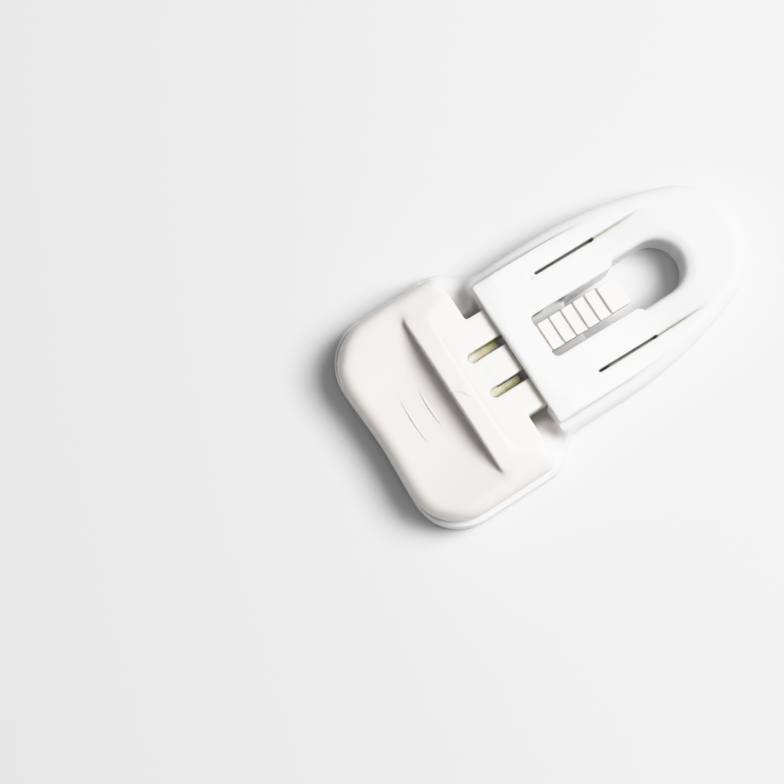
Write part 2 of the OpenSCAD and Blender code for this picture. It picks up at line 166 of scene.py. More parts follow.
class MouldField:
    """Signed distances to a moulding's surface, in millimetres, on a regular grid.

    Attributes:
        band_steps: Grid steps on each side of the surface that hold true distances.
        edge_reach: Blur that brings out edges and creases.
        edge_full: Blurred distance at which an edge counts in full.
        crease_full: Blurred distance at which a crease gets its full painted shade.
        hollow_reach: Blur that brings out wider hollows for the painted shade.
        hollow_full: Blurred distance at which a hollow gets its full painted shade.
    """

    band_steps: int = 12
    edge_reach: float = 0.5
    edge_full: float = 0.22
    crease_full: float = 0.26
    hollow_reach: float = 1.3
    hollow_full: float = 0.75

    def __init__(self, low: np.ndarray, high: np.ndarray, step: float, margin: float = 1.6) -> None:
        """Lays the grid round a box.

        Args:
            low: Lowest corner of the box, in millimetres.
            high: Highest corner of the box, in millimetres.
            step: Distance between grid points.
            margin: Space left round the box.
        """
        self.step = step
        self.first = np.floor((low - margin) / step).astype(int)
        last = np.ceil((high + margin) / step).astype(int)
        self.shape = tuple(int(n) for n in last - self.first + 1)
        axes = [(self.first[i] + np.arange(self.shape[i])) * step for i in range(3)]
        self.x, self.y, self.z = np.meshgrid(*axes, indexing="ij", sparse=True)
        self.transform = openvdb.createLinearTransform(voxelSize=step)

    def distances(self, solid: bpy.types.Object) -> np.ndarray:
        """Measures the distance from every grid point to a solid's surface.

        Args:
            solid: Closed solid of the frame.

        Returns:
            Distances, negative inside the solid.
        """
        mesh = solid.data
        points = np.empty(len(mesh.vertices) * 3, np.float32)
        mesh.vertices.foreach_get("co", points)
        mesh.calc_loop_triangles()
        corners = np.empty(len(mesh.loop_triangles) * 3, np.int32)
        mesh.loop_triangles.foreach_get("vertices", corners)
        grid = openvdb.FloatGrid.createLevelSetFromPolygons(
            np.ascontiguousarray(points.reshape(-1, 3) / MM, np.float32),
            triangles=np.ascontiguousarray(corners.reshape(-1, 3), np.uint32),
            transform=self.transform,
            halfWidth=self.band_steps,
        )
        values = np.empty(self.shape, np.float32)
        grid.copyToArray(values, ijk=tuple(int(n) for n in self.first))
        return values

    def softened(self, values: np.ndarray, radius: float) -> np.ndarray:
        """Rounds every edge and corner by blurring the distances.

        Args:
            values: Distances on the grid.
            radius: Reach of the blur, in millimetres.

        Returns:
            The blurred distances.
        """
        spread = radius / self.step
        reach = max(1, int(math.ceil(3.0 * spread)))
        weights = np.exp(-0.5 * np.square(np.arange(-reach, reach + 1) / spread))
        weights /= weights.sum()
        for axis in range(3):
            padding = [(0, 0)] * 3
            padding[axis] = (reach, reach)
            padded = np.pad(values, padding, mode="edge")
            blurred = np.zeros_like(values)
            for offset, weight in enumerate(weights):
                window = [slice(None)] * 3
                window[axis] = slice(offset, offset + values.shape[axis])
                blurred += np.float32(weight) * padded[tuple(window)]
            values = blurred
        return values

    def sampled(self, values: np.ndarray, points: np.ndarray) -> np.ndarray:
        """Reads the grid between its points.

        Args:
            values: Values on the grid.
            points: Places to read, in millimetres.

        Returns:
            One value for each place.
        """
        place = points / self.step - self.first
        cell = np.clip(np.floor(place).astype(int), 0, np.array(self.shape) - 2)
        part = place - cell
        total = np.zeros(len(points))
        for corner in np.ndindex(2, 2, 2):
            at = cell + np.array(corner)
            share = np.prod(np.where(np.array(corner) == 1, part, 1.0 - part), axis=1)
            total += share * values[at[:, 0], at[:, 1], at[:, 2]]
        return total

    def surface(
        self, name: str, values: np.ndarray, adaptivity: float, stain: np.ndarray | None = None
    ) -> bpy.types.Object:
        """Makes a smooth closed mesh of the surface where the distances are 0.

        Args:
            name: Name of the new piece.
            values: Distances on the grid.
            adaptivity: How far flat stretches are thinned, from 0 to 1.
            stain: Shares from 0 to 1 on the grid of a painted darker shade.

        Returns:
            The piece, with its edge attribute and its two painted shade attributes.
        """
        values = np.ascontiguousarray(values, np.float32)
        grid = openvdb.FloatGrid(float(self.band_steps * self.step))
        grid.copyFromArray(values, ijk=tuple(int(n) for n in self.first))
        grid.transform = self.transform
        points, triangles, quads = grid.convertToPolygons(isovalue=0.0, adaptivity=adaptivity)
        points = points.astype(float)
        halves = [triangles[:, :3], quads[:, [0, 1, 2]], quads[:, [0, 2, 3]]]
        corners = points[np.concatenate(halves)]
        volume = np.einsum("ij,ij->i", corners[:, 0], np.cross(corners[:, 1], corners[:, 2])).sum()
        turn = -1 if volume < 0 else 1
        mesh = bpy.data.meshes.new(name)
        mesh.vertices.add(len(points))
        mesh.vertices.foreach_set("co", (points * MM).astype(np.float32).ravel())
        loops = np.concatenate([quads[:, ::turn].ravel(), triangles[:, ::turn].ravel()])
        starts = np.concatenate([np.arange(len(quads)) * 4, len(quads) * 4 + np.arange(len(triangles)) * 3])
        mesh.loops.add(len(loops))
        mesh.loops.foreach_set("vertex_index", loops.astype(np.int32))
        mesh.polygons.add(len(starts))
        mesh.polygons.foreach_set("loop_start", starts.astype(np.int32))
        mesh.update(calc_edges=True)
        mesh.shade_smooth()
        self.dress(mesh, values, points, stain)
        piece = bpy.data.objects.new(name, mesh)
        bpy.context.scene.collection.objects.link(piece)
        return piece

    def dress(
        self, mesh: bpy.types.Mesh, values: np.ndarray, points: np.ndarray, stain: np.ndarray | None
    ) -> None:
        """Gives a mesh true normals, an edge attribute, and attributes for the painted shade in its creases
        and hollows and in its slots and grooves.

        Args:
            mesh: Mesh of the surface.
            values: Distances that it was made from.
            points: Its points, in millimetres.
            stain: Shares from 0 to 1 on the grid of a painted darker shade, or None.
        """
        slopes = np.gradient(values, self.step)
        normals = np.stack([self.sampled(slope, points) for slope in slopes], axis=1)
        normals /= np.linalg.norm(normals, axis=1, keepdims=True) + 1e-12
        mesh.normals_split_custom_set_from_vertices(normals.astype(np.float32))
        near = self.sampled(self.softened(values, self.edge_reach), points)
        wide = self.sampled(self.softened(values, self.hollow_reach), points)
        # Painted shade: creases and wider hollows found from the blurred distances get a darker colour,
        # standing in for the shade that gathers there.
        recess = np.maximum(-near / self.crease_full, -wide / self.hollow_full)
        shares = {"edge": near / self.edge_full, "recess": recess}
        # Painted shade in slots, grooves and creases is carried as its own attribute.
        if stain is not None:
            shares["stain"] = self.sampled(stain, points)
        for name, share in shares.items():
            attribute = mesh.attributes.new(name, "FLOAT", "POINT")
            attribute.data.foreach_set("value", np.clip(share, 0.0, 1.0).astype(np.float32))


def field_round(body: Body, step: float) -> MouldField:
    """Lays a distance grid round one of the frame's solids.

    Args:
        body: Body that the solid belongs to.
        step: Distance between grid points, in millimetres.

    Returns:
        The empty grid.
    """
    low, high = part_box(body.value)
    return MouldField(np.array(low) / MM, np.array(high) / MM, step)


class NodeDrawing:
    """A node group that is being drawn, with named sockets."""

    def __init__(self, name: str, kind: str) -> None:
        """Starts an empty group.

        Args:
            name: Name of the group.
            kind: Kind of node tree that it is.
        """
        self.tree = bpy.data.node_groups.new(name, kind)

    def socket(self, way: Way, label: str, kind: str, default: float | None = None) -> None:
        """Adds a named socket to the group.

        Args:
            way: Side of the group that it is on.
            label: Name of the socket.
            kind: Kind of socket.
            default: Value that it has when nothing is joined to it, if it takes one.
        """
        made = self.tree.interface.new_socket(label, in_out=way.value, socket_type=kind)
        if default is not None:
            made.default_value = default

    def open(self) -> None:
        """Adds the nodes for what is given and for the result, after all sockets are there."""
        self.given = self.tree.nodes.new("NodeGroupInput")
        self.result = self.tree.nodes.new("NodeGroupOutput")

    def node(self, kind: str, **settings: object) -> bpy.types.Node:
        """Adds a node and sets its properties.

        Args:
            kind: Kind of node.
            **settings: Properties and their values.

        Returns:
            The new node.
        """
        made = self.tree.nodes.new(kind)
        for name, value in settings.items():
            setattr(made, name, value)
        return made

    def join(self, source: bpy.types.NodeSocket, target: bpy.types.NodeSocket) -> None:
        """Links two sockets."""
        self.tree.links.new(source, target)


class ShaderGroup(NodeDrawing):
    """A shader node group that takes and puts out values."""

    def __init__(self, name: str, inputs: dict[str, float], outputs: list[str]) -> None:
        """Starts the group.

        Args:
            name: Name of the group.
            inputs: Its inputs and their defaults.
            outputs: Its outputs, which are values.
        """
        super().__init__(name, "ShaderNodeTree")
        for label, default in inputs.items():
            self.socket(Way.GIVEN, label, "NodeSocketFloat", default)
        for label in outputs:
            self.socket(Way.RESULT, label, "NodeSocketFloat")
        self.open()

    def maths(self, operation: str, first: object, second: object) -> bpy.types.NodeSocket:
        """Adds a sum of two values or sockets.

        Args:
            operation: Name of the sum.
            first: Socket or number.
            second: Socket or number.

        Returns:
            The result's socket.
        """
        made = self.node("ShaderNodeMath", operation=operation)
        for socket, value in zip(made.inputs, (first, second)):
            if isinstance(value, bpy.types.NodeSocket):
                self.join(value, socket)
            else:
                socket.default_value = value
        return made.outputs[0]


def mould_grain(
    grain_detail: float = 2.0, mottle_detail: float = 4.0, pit_share: float = 0.45
) -> bpy.types.NodeTree:
    """Draws the group for the fine texture of a moulded face and its slow mottling.

    Args:
        grain_detail: Octaves of the fine texture.
        mottle_detail: Octaves of the mottling.
        pit_share: Depth of the pits beside the fine texture.

    Returns:
        The group, with a height and a mottle from 0 to 1.
    """
    group = ShaderGroup("mould_grain", {"Grain Scale": 4200.0, "Mottle Scale": 130.0}, ["Height", "Mottle"])
    place = group.node("ShaderNodeTexCoord").outputs["Object"]
    grain = group.node("ShaderNodeTexNoise")
    grain.inputs["Detail"].default_value = grain_detail
    pits = group.node("ShaderNodeTexVoronoi")
    mottle = group.node("ShaderNodeTexNoise")
    mottle.inputs["Detail"].default_value = mottle_detail
    for texture, scale in ((grain, "Grain Scale"), (pits, "Grain Scale"), (mottle, "Mottle Scale")):
        group.join(place, texture.inputs["Vector"])
        group.join(group.given.outputs[scale], texture.inputs["Scale"])
    pitted = group.maths("MULTIPLY", pits.outputs["Distance"], pit_share)
    group.join(group.maths("ADD", grain.outputs["Fac"], pitted), group.result.inputs["Height"])
    group.join(mottle.outputs["Fac"], group.result.inputs["Mottle"])
    return group.tree


def wear_and_painted_shade(detail: float = 5.0, contrast: float = 1.2, least: float = 0.3) -> bpy.types.NodeTree:
    """Draws the group that breaks up the worn edges and the painted shade in creases, hollows, slots and
    grooves.

    Args:
        detail: Octaves of the breakup.
        contrast: How far the breakup varies a mask.
        least: Share of a mask that is always left.

    Returns:
        The group, with an edge mask and two painted shade masks from 0 to 1.
    """
    kinds = ("Edge", "Recess", "Stain")
    inputs = dict.fromkeys(kinds, 0.0) | {"Breakup Scale": 420.0}
    group = ShaderGroup("wear_and_painted_shade", inputs, [f"{kind} Mask" for kind in kinds])
    place = group.node("ShaderNodeTexCoord").outputs["Object"]
    breakup = group.node("ShaderNodeTexNoise")
    breakup.inputs["Detail"].default_value = detail
    group.join(place, breakup.inputs["Vector"])
    group.join(group.given.outputs["Breakup Scale"], breakup.inputs["Scale"])
    rough = group.maths("MULTIPLY_ADD", breakup.outputs["Fac"], contrast)
    rough.node.inputs[2].default_value = least
    for kind in kinds:
        masked = group.maths("MULTIPLY", group.given.outputs[kind], rough)
        masked.node.use_clamp = True
        group.join(masked, group.result.inputs[f"{kind} Mask"])
    return group.tree


@dataclass(frozen=True)
class MouldedPlastic:
    """A satin plastic with mould texture, slow mottling, polished edges, and painted shade in recesses,
    slots and grooves.
    """

    name: str
    colour: Colour
    mottle_colour: Colour
    painted_crease_shade_colour: Colour
    painted_hollow_shade_colour: Colour
    edge_colour: Colour
    roughness: float = 0.42
    painted_crease_shade_share: float = 0.8
    painted_hollow_shade_share: float = 0.95
    edge_share: float = 0.35
    gloss_spread: float = 0.07
    grain_depth: float = 0.000012
    refraction: float = 1.49
    seep: float = 0.0016
    seep_share: float = 0.3
    seep_reach: tuple[float, float, float] = (1.0, 0.88, 0.6)

    def material(self, grain: bpy.types.NodeTree, wear_and_shade: bpy.types.NodeTree) -> bpy.types.Material:
        """Builds the material.

        Args:
            grain: Group that draws the mould texture.
            wear_and_shade: Group that draws the wear and the painted shade.

        Returns:
            The finished material.
        """
        made = bpy.data.materials.new(self.name)
        made.use_nodes = True
        nodes, links = made.node_tree.nodes, made.node_tree.links
        shader = nodes["Principled BSDF"]
        shader.inputs["IOR"].default_value = self.refraction
        shader.inputs["Subsurface Weight"].default_value = self.seep_share
        shader.inputs["Subsurface Radius"].default_value = self.seep_reach
        shader.inputs["Subsurface Scale"].default_value = self.seep
        texture = nodes.new("ShaderNodeGroup")
        texture.node_tree = grain
        wear_and_shade_node = nodes.new("ShaderNodeGroup")
        wear_and_shade_node.node_tree = wear_and_shade
        for label in ("Edge", "Recess", "Stain"):
            source = nodes.new("ShaderNodeAttribute")
            source.attribute_name = label.lower()
            links.new(source.outputs["Fac"], wear_and_shade_node.inputs[label])
        colour = self.mixed(made, texture.outputs["Mottle"], 1.0, self.colour, self.mottle_colour)
        # Painted shade in creases and hollows, mixed into the base colour.
        colour = self.mixed(made, wear_and_shade_node.outputs["Recess Mask"], self.painted_crease_shade_share, colour, self.painted_crease_shade_colour)
        # Painted shade in slots, grooves and creases, mixed into the base colour.
        colour = self.mixed(made, wear_and_shade_node.outputs["Stain Mask"], self.painted_hollow_shade_share, colour, self.painted_hollow_shade_colour)
        colour = self.mixed(made, wear_and_shade_node.outputs["Edge Mask"], self.edge_share, colour, self.edge_colour)
        links.new(colour, shader.inputs["Base Color"])
        gloss = nodes.new("ShaderNodeMapRange")
        gloss.inputs["To Min"].default_value = self.roughness - self.gloss_spread
        gloss.inputs["To Max"].default_value = self.roughness + self.gloss_spread
        links.new(texture.outputs["Mottle"], gloss.inputs["Value"])
        links.new(gloss.outputs["Result"], shader.inputs["Roughness"])
        bump = nodes.new("ShaderNodeBump")
        bump.inputs["Distance"].default_value = self.grain_depth
        links.new(texture.outputs["Height"], bump.inputs["Height"])
        links.new(bump.outputs["Normal"], shader.inputs["Normal"])
        return made

    @staticmethod
    def mixed(
        made: bpy.types.Material, mask: bpy.types.NodeSocket, share: float, first: object, second: Colour
    ) -> bpy.types.NodeSocket:
        """Mixes a second colour in by a share of a mask.

        Args:
            made: Material that gets the nodes.
            mask: Socket of the mask.
            share: Part of the mask that counts.
            first: Colour, or socket of a colour, where the mask is 0.
            second: Colour where the mask is 1.

        Returns:
            The mixed colour's socket.
        """
        nodes, links = made.node_tree.nodes, made.node_tree.links
        scaled = nodes.new("ShaderNodeMath")
        scaled.operation = "MULTIPLY"
        scaled.inputs[1].default_value = share
        links.new(mask, scaled.inputs[0])
        mix = nodes.new("ShaderNodeMix")
        mix.data_type = "RGBA"
        links.new(scaled.outputs[0], mix.inputs[0])
        if isinstance(first, bpy.types.NodeSocket):
            links.new(first, mix.inputs[MixSocket.FIRST])
        else:
            mix.inputs[MixSocket.FIRST].default_value = first
        mix.inputs[MixSocket.SECOND].default_value = second
        return mix.outputs[MixSocket.RESULT]


BODY_PLASTIC = MouldedPlastic(
    name="cool_white_plastic",
    colour=(0.885, 0.885, 0.89, 1.0),
    mottle_colour=(0.86, 0.86, 0.865, 1.0),
    # Painted shade colour for the body's creases and hollows: a darker khaki mixed in where shade gathers.
    painted_crease_shade_colour=(0.46, 0.42, 0.31, 1.0),
    # Painted shade colour for the body's grooves and the creases that trail on from them.
    painted_hollow_shade_colour=(0.30, 0.285, 0.235, 1.0),
    edge_colour=(0.93, 0.93, 0.935, 1.0),
)
JAW_PLASTIC = MouldedPlastic(
    name="ivory_white_plastic",
    colour=(0.905, 0.87, 0.84, 1.0),
    mottle_colour=(0.875, 0.835, 0.80, 1.0),
    # Painted shade colour for the jaw's creases and hollows.
    painted_crease_shade_colour=(0.47, 0.47, 0.48, 1.0),
    # Painted shade colour for the jaw's slots: a dark olive standing in for the shade in them.
    painted_hollow_shade_colour=(0.20, 0.18, 0.01, 1.0),
    edge_colour=(0.93, 0.90, 0.87, 1.0),
)


class RibTree(NodeDrawing):
    """Geometry nodes that draw moulded ribs, as a straight row or along a drawn line."""

    def __init__(self, name: str, inputs: dict[str, tuple[str, float]]) -> None:
        """Starts the tree.

        Args:
            name: Name of the tree.
            inputs: Its sizes, each with its socket type and default.
        """
        super().__init__(name, "GeometryNodeTree")
        self.socket(Way.GIVEN, "Geometry", "NodeSocketGeometry")
        for label, (kind, default) in inputs.items():
            self.socket(Way.GIVEN, label, kind, default)
        self.socket(Way.GIVEN, "Material", "NodeSocketMaterial")
        self.socket(Way.RESULT, "Geometry", "NodeSocketGeometry")
        self.open()

    def size(self, label: str) -> bpy.types.NodeSocket:
        """Gives the socket of a named size."""
        return self.given.outputs[label]

    def vector(self, **parts: bpy.types.NodeSocket) -> bpy.types.NodeSocket:
        """Joins sockets into a vector, with 0 for a part that isn't given.

        Args:
            **parts: Sockets of the parts, named X, Y and Z.

        Returns:
            The vector's socket.
        """
        made = self.node("ShaderNodeCombineXYZ")
        for label, source in parts.items():
            self.join(source, made.inputs[label])
        return made.outputs[0]

    def close(self, shape: bpy.types.NodeSocket) -> bpy.types.NodeTree:
        """Realizes the shape, smooths it and sets its material.

        Args:
            shape: Socket of the finished geometry.

        Returns:
            The finished tree.
        """
        real = self.node("GeometryNodeRealizeInstances")
        smooth = self.node("GeometryNodeSetShadeSmooth")
        painted = self.node("GeometryNodeSetMaterial")
        self.join(shape, real.inputs["Geometry"])
        self.join(real.outputs["Geometry"], smooth.inputs["Geometry"])
        self.join(smooth.outputs["Geometry"], painted.inputs["Geometry"])
        self.join(self.size("Material"), painted.inputs["Material"])
        self.join(painted.outputs["Geometry"], self.result.inputs["Geometry"])
        return self.tree


def grip_row_tree(ring_points: int = 16) -> bpy.types.NodeTree:
    """Draws the tree of a straight row of half-sunk grip ribs that lie across the jaw.

    Args:
        ring_points: Points round a rib.

    Returns:
        The tree, with its sizes in metres as named inputs.
    """
    length = "NodeSocketFloat"
    tree = RibTree("grip_row", {
        "Count": ("NodeSocketInt", 5), "Pitch": (length, 0.003), "Length": (length, 0.039),
        "Half Width": (length, 0.0007), "Height": (length, 0.0004),
        "First X": (length, 0.0), "Face Z": (length, 0.0),
    })
    rod = tree.node("GeometryNodeCurvePrimitiveLine", mode="DIRECTION")
    rod.inputs["Direction"].default_value = (0.0, 1.0, 0.0)
    tree.join(tree.size("Length"), rod.inputs["Length"])
    half = tree.node("ShaderNodeMath", operation="MULTIPLY")
    half.inputs[1].default_value = -0.5
    tree.join(tree.size("Length"), half.inputs[0])
    tree.join(tree.vector(Y=half.outputs[0]), rod.inputs["Start"])
    ring = tree.node("GeometryNodeCurvePrimitiveCircle", mode="RADIUS")
    ring.inputs["Resolution"].default_value = ring_points
    ring.inputs["Radius"].default_value = 1.0
    swept = tree.node("GeometryNodeCurveToMesh")
    swept.inputs["Fill Caps"].default_value = True
    tree.join(rod.outputs["Curve"], swept.inputs["Curve"])
    tree.join(ring.outputs["Curve"], swept.inputs["Profile Curve"])
    one = tree.node("ShaderNodeValue")
    one.outputs[0].default_value = 1.0
    shaped = tree.node("GeometryNodeTransform")
    tree.join(swept.outputs["Mesh"], shaped.inputs["Geometry"])
    scale = tree.vector(X=tree.size("Half Width"), Y=one.outputs[0], Z=tree.size("Height"))
    tree.join(scale, shaped.inputs["Scale"])
    places = tree.node("GeometryNodeMeshLine", mode="OFFSET")
    tree.join(tree.size("Count"), places.inputs["Count"])
    tree.join(tree.vector(X=tree.size("First X"), Z=tree.size("Face Z")), places.inputs["Start Location"])
    tree.join(tree.vector(X=tree.size("Pitch")), places.inputs["Offset"])
    ribs = tree.node("GeometryNodeInstanceOnPoints")
    tree.join(places.outputs["Mesh"], ribs.inputs["Points"])
    tree.join(shaped.outputs["Geometry"], ribs.inputs["Instance"])
    return tree.close(ribs.outputs["Instances"])


def drawn_rib_tree(
    ring_points: int = 12, fullness: float = 0.5, end_share: float = 0.15
) -> bpy.types.NodeTree:
    """Draws the tree of fine ribs that follow drawn lines and taper off at both ends.

    Args:
        ring_points: Points round a rib.
        fullness: Power of the taper, fuller towards 0.
        end_share: Share of the radius that is left at the ends.

    Returns:
        The tree, with the ribs' radius in metres as a named input.
    """
    tree = RibTree("drawn_rib", {"Radius": ("NodeSocketFloat", 0.0003)})
    lines = tree.node("GeometryNodeMeshToCurve")
    tree.join(tree.given.outputs["Geometry"], lines.inputs["Mesh"])
    along = tree.node("GeometryNodeSplineParameter")
    arch = tree.node("ShaderNodeMath", operation="MULTIPLY")
    arch.inputs[1].default_value = math.pi
    tree.join(along.outputs["Factor"], arch.inputs[0])
    rise = tree.node("ShaderNodeMath", operation="SINE")
    tree.join(arch.outputs[0], rise.inputs[0])
    taper = tree.node("ShaderNodeMath", operation="POWER", use_clamp=True)
    taper.inputs[1].default_value = fullness
    tree.join(rise.outputs[0], taper.inputs[0])
    blunt = tree.node("ShaderNodeMath", operation="MAXIMUM")
    blunt.inputs[1].default_value = end_share
    tree.join(taper.outputs[0], blunt.inputs[0])
    ring = tree.node("GeometryNodeCurvePrimitiveCircle", mode="RADIUS")
    ring.inputs["Resolution"].default_value = ring_points
    tree.join(tree.size("Radius"), ring.inputs["Radius"])
    swept = tree.node("GeometryNodeCurveToMesh")
    swept.inputs["Fill Caps"].default_value = True
    tree.join(lines.outputs["Curve"], swept.inputs["Curve"])
    tree.join(ring.outputs["Curve"], swept.inputs["Profile Curve"])
    tree.join(blunt.outputs[0], swept.inputs["Scale"])
    return tree.close(swept.outputs["Mesh"])


def grown(
    name: str, tree: bpy.types.NodeTree, sizes: dict[str, object], start: bpy.types.Mesh | None = None
) -> bpy.types.Object:
    """Runs a tree once and keeps its result as a plain mesh.

    Args:
        name: Name of the new piece.
        tree: Geometry nodes to run.
        sizes: Values of the tree's named inputs.
        start: Mesh that the tree starts from, if it needs one.

    Returns:
        The piece, with no modifier left on it.
    """
    source = bpy.data.objects.new(name, start or bpy.data.meshes.new(name))
    bpy.context.scene.collection.objects.link(source)
    modifier = source.modifiers.new("ribs", "NODES")
    modifier.node_group = tree
    names = {item.name: item.identifier for item in tree.interface.items_tree if item.in_out == "INPUT"}
    for label, value in sizes.items():
        modifier[names[label]] = value
    settled = source.evaluated_get(bpy.context.evaluated_depsgraph_get())
    mesh = bpy.data.meshes.new_from_object(settled)
    source.modifiers.clear()
    source.data = mesh
    mesh.name = name
    return source


@dataclass
class Moulding:
    """A moulding of the clip, with the finish that it shares with its ribs, and its slot."""

    sizes: ClipSizes
    finish: bpy.types.Material
    slot: Slot
    body: Body
    pieces: list[bpy.types.Object] = field(default_factory=list)

    def take(self, piece: bpy.types.Object) -> bpy.types.Object:
        """Gives a piece the moulding's finish, and lists it.

        Args:
            piece: Piece of the moulding.

        Returns:
            The same piece.
        """
        piece.data.materials.clear()
        piece.data.materials.append(self.finish)
        self.pieces.append(piece)
        return piece

    def grips(self, name: str, tree: bpy.types.NodeTree, count: int, first_u: float, face_z: float) -> None:
        """Lays a row of grip ribs on a jaw's inner face.

        Args:
            name: Name of the row.
            tree: Tree that draws it.
            count: Number of ribs.
            first_u: Place of the first rib.
            face_z: Height of the jaw's inner face.
        """
        sizes = self.sizes
        row = grown(name, tree, {
            "Count": count,
            "Pitch": sizes.grip_pitch * MM,
            "Length": sizes.grip_len * MM,
            "Half Width": sizes.grip_pitch / 4 * MM,
            "Height": sizes.grip_h * MM,
            "First X": (first_u + sizes.bridge_x) * MM,
            "Face Z": face_z * MM,
            "Material": self.finish,
        })
        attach(self.take(row), self.body.value)


@dataclass
class LowerBody(Moulding):
    """Lower jaw, bridge, loop and eye."""

    step: float = 0.22
    thinning: float = 0.02
    edge_round: float = 0.24
    parting_z: float = 4.6
    parting_rise: float = 0.06
    parting_half: float = 0.17
    seamless_half: float = 9.0
    seamless_u: Span = (-2.0, 43.0)
    groove_u: Span = (13.0, 27.0)
    groove_y: float = 12.1
    groove_half: float = 0.2
    groove_d: float = 2.4
    groove_painted_shade: Span = (0.16, 0.02)
    trail_u: Span = (33.0, 41.5)
    trail_lap: Span = (1.0, 0.5)
    trail_under: Span = (2.5, 1.2)
    trail_d: float = 0.34
    trail_half: float = 0.3
    trail_painted_shade: float = 0.6
    dot_u: float = 11.8
    dot_y: float = 11.9
    dot_r: float = 0.42
    flare_round: float = 1.0
    flare_front: Span = (-8.0, -6.0)
    flare_rear: Span = (8.0, 3.0)
    flare_side: Span = (17.6, 18.8)
    flare_rise: Span = (4.0, 6.0)
    pin_mark_r: float = 2.1
    pin_mark_d: float = 0.14
    pin_mark_edge: float = 0.25
    pin_mark_z: Span = (0.6, 1.2)
    pin_marks: tuple[Span, ...] = ((4.0, 13.5), (4.0, -13.5), (44.0, 0.0), (-8.0, 0.0))

    def grooves(self, grid: MouldField) -> np.ndarray:
        """Lays out the narrow cuts along the two grooves, below the bridge's sloping top.

        Args:
            grid: Grid that the body is made on.

        Returns:
            Distances to the cuts, negative inside them.
        """
        u = grid.x - self.sizes.bridge_x
        front, rear = self.groove_u
        beyond = np.maximum(np.maximum(front - u, u - rear), 0.0)
        sides = np.hypot(beyond, np.abs(grid.y) - self.groove_y) - self.groove_half
        top = self.sizes.bridge_top + (self.sizes.loop_t - self.sizes.bridge_top) * u / self.sizes.bridge_len
        return np.maximum(sides, top - self.groove_d - grid.z)

    def trail(self, grid: MouldField) -> np.ndarray:
        """Lays out the shallow crease that runs on from each groove and fades out along the loop.

        Args:
            grid: Grid that the body is made on.

        Returns:
            Shares of the crease's depth, from 0 to 1.
        """
        u = grid.x - self.sizes.bridge_x
        rear, top = self.groove_u[1], self.sizes.loop_t
        before, behind = self.trail_lap
        full, gone = self.trail_u
        deep, shallow = self.trail_under
        lengthways = fade(rear - before, rear + behind, u) * fade(gone, full, u)
        near_top = fade(top - deep, top - shallow, grid.z)
        return lengthways * near_top * swell(np.abs(grid.y) - self.groove_y, self.trail_half)

    def softened_body(self, grid: MouldField) -> np.ndarray:
        """Softens the solid's edges, most of all where the neck flares, and clears the jaw's face of ribs.

        Args:
            grid: Grid that the body is made on.

        Returns:
            Distances to the softened body.
        """
        sizes = self.sizes
        u = grid.x - sizes.bridge_x
        values = grid.distances(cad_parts[self.body.value])
        grips_end = -sizes.jaw_reach + sizes.grip_start + sizes.grip_count * sizes.grip_pitch
        values = np.where(u < grips_end, np.maximum(values, grid.z - sizes.lower_jaw_t), values)
        crisp = grid.softened(values.astype(np.float32), self.edge_round)
        soft = grid.softened(values.astype(np.float32), self.flare_round)
        flare = fade(*self.flare_front, u) * fade(*self.flare_rear, u)
        flare = flare * fade(*self.flare_side, np.abs(grid.y)) * fade(*self.flare_rise, grid.z)
        return crisp + flare * (soft - crisp)

    def marked(self, grid: MouldField, values: np.ndarray) -> np.ndarray:
        """Adds the parting line, the grooves with their creases, the dot and the pin marks.

        Args:
            grid: Grid that the body is made on.
            values: Distances to the softened body.

        Returns:
            Distances to the marked body.
        """
        sizes = self.sizes
        u = grid.x - sizes.bridge_x
        front, rear = self.seamless_u
        inside = (np.abs(grid.y) < self.seamless_half) & (u > front) & (u < rear)
        seam = swell(grid.z - self.parting_z, self.parting_half)
        values = values - np.where(inside, 0.0, self.parting_rise * seam)
        values = np.maximum(values, -self.grooves(grid)) + self.trail_d * self.trail(grid)
        top = fade(sizes.lower_jaw_t, sizes.loop_t, grid.z)
        values = values + self.dot_r * top * swell(np.hypot(u - self.dot_u, grid.y - self.dot_y), self.dot_r)
        low = 1.0 - fade(*self.pin_mark_z, grid.z)
        for mark_u, mark_y in self.pin_marks:
            away = np.hypot(u - mark_u, grid.y - mark_y)
            within = 1.0 - fade(self.pin_mark_r - self.pin_mark_edge, self.pin_mark_r, away)
            values = values + self.pin_mark_d * low * within
        return values

    def build(self, grip_tree: bpy.types.NodeTree) -> None:
        """Builds the softened body with its marks, the painted shade in its grooves and creases, and its
        grip ribs.

        Args:
            grip_tree: Tree that draws a row of grip ribs.
        """
        sizes = self.sizes
        grid = field_round(self.body, self.step)
        values = self.marked(grid, self.softened_body(grid))
        # Painted shade: the groove cuts and the creases that trail on from them get a darker colour,
        # standing in for the shade in them.
        tint = fade(*self.groove_painted_shade, self.grooves(grid))
        stain = np.maximum(tint, self.trail_painted_shade * self.trail(grid))
        body = grid.surface("lower_body_moulding", values, self.thinning, stain)
        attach(self.take(body), self.body.value)
        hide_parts(self.body.value)
        first = -sizes.jaw_reach + sizes.grip_start
        self.grips("lower_grip_ribs", grip_tree, sizes.grip_count, first, sizes.lower_jaw_t)


